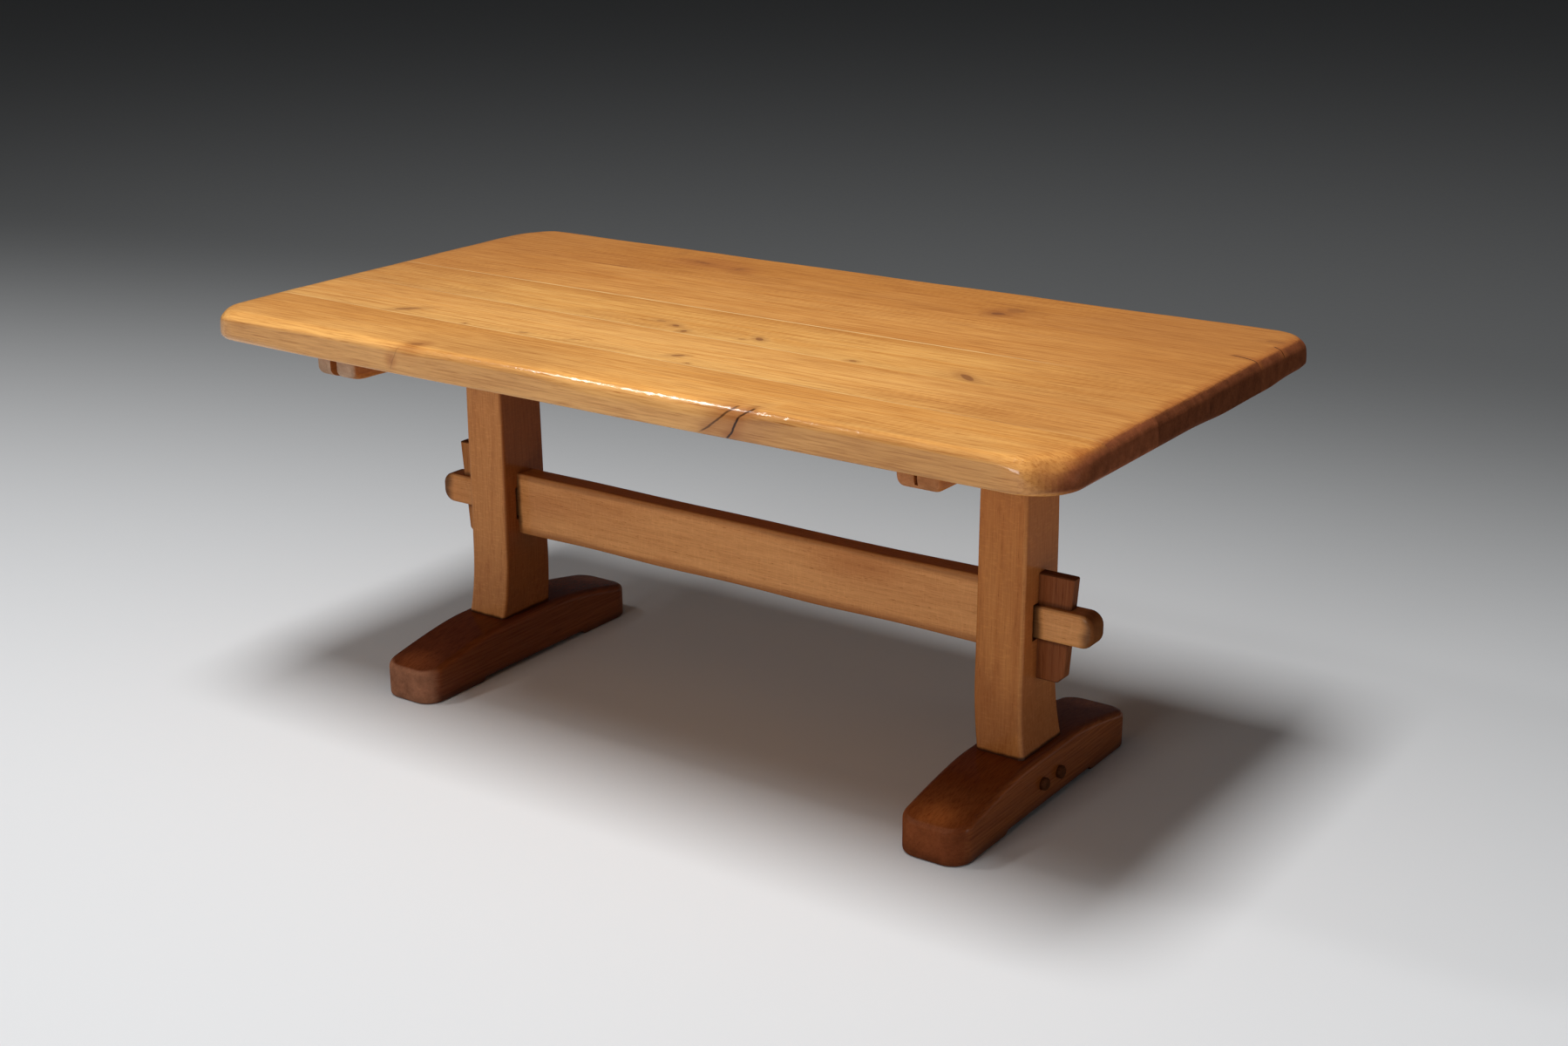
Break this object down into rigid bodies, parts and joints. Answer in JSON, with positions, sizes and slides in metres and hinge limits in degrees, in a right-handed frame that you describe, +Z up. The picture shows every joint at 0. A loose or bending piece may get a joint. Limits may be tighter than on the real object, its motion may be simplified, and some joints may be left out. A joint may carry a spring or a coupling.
{
  "type": "trestle dining table",
  "caption": "Solid oak dining table: thick plank top on pegged trestles, tied by a stretcher that tusk wedges lock.",
  "frame": {"origin": "on the floor under the middle of the top", "axes": "+X along the table towards its right-hand end, +Y across it away from the viewer of the picture, +Z up"},
  "size_m": [1.745, 0.904, 0.75],
  "materials": {
    "top_oak": "satin varnish over honey-coloured oak",
    "frame_oak": "satin varnish over mid-brown oak",
    "foot_oak": "satin varnish over dark red-brown oak",
    "wedge_oak": "satin varnish over brown oak",
    "peg_oak": "knife-cut dark oak",
    "tongue_wood": "raw planed wood",
    "zinc_steel": "zinc plated"
  },
  "bodies": {
    "table_frame": {"top_plank_1": "top_oak", "top_plank_2": "top_oak", "top_plank_3": "top_oak", "top_plank_4": "top_oak", "top_plank_5": "top_oak", "seam_tongue_1": "tongue_wood", "seam_tongue_2": "tongue_wood", "seam_tongue_3": "tongue_wood", "seam_tongue_4": "tongue_wood", "stretcher": "frame_oak", "right_foot": "foot_oak", "right_post": "frame_oak", "right_bearer": "frame_oak", "right_foot_peg_1": "peg_oak", "right_foot_peg_2": "peg_oak", "right_bearer_peg_1": "peg_oak", "right_bearer_peg_2": "peg_oak", "right_top_screw_1": "zinc_steel", "right_top_screw_2": "zinc_steel", "right_top_washer_1": "zinc_steel", "right_top_washer_2": "zinc_steel", "left_foot": "foot_oak", "left_post": "frame_oak", "left_bearer": "frame_oak", "left_foot_peg_1": "peg_oak", "left_foot_peg_2": "peg_oak", "left_bearer_peg_1": "peg_oak", "left_bearer_peg_2": "peg_oak", "left_top_screw_1": "zinc_steel", "left_top_screw_2": "zinc_steel", "left_top_washer_1": "zinc_steel", "left_top_washer_2": "zinc_steel"},
    "right_tusk_wedge": {"right_wedge": "wedge_oak"},
    "left_tusk_wedge": {"left_wedge": "wedge_oak"}
  },
  "joints": [
    {"name": "right_wedge_slide", "type": "slide", "parent": "table_frame", "child": "right_tusk_wedge", "axis": [0, 0, 1], "range_m": [0, 0.118]},
    {"name": "left_wedge_slide", "type": "slide", "parent": "table_frame", "child": "left_tusk_wedge", "axis": [0, 0, 1], "range_m": [0, 0.105]}
  ]
}
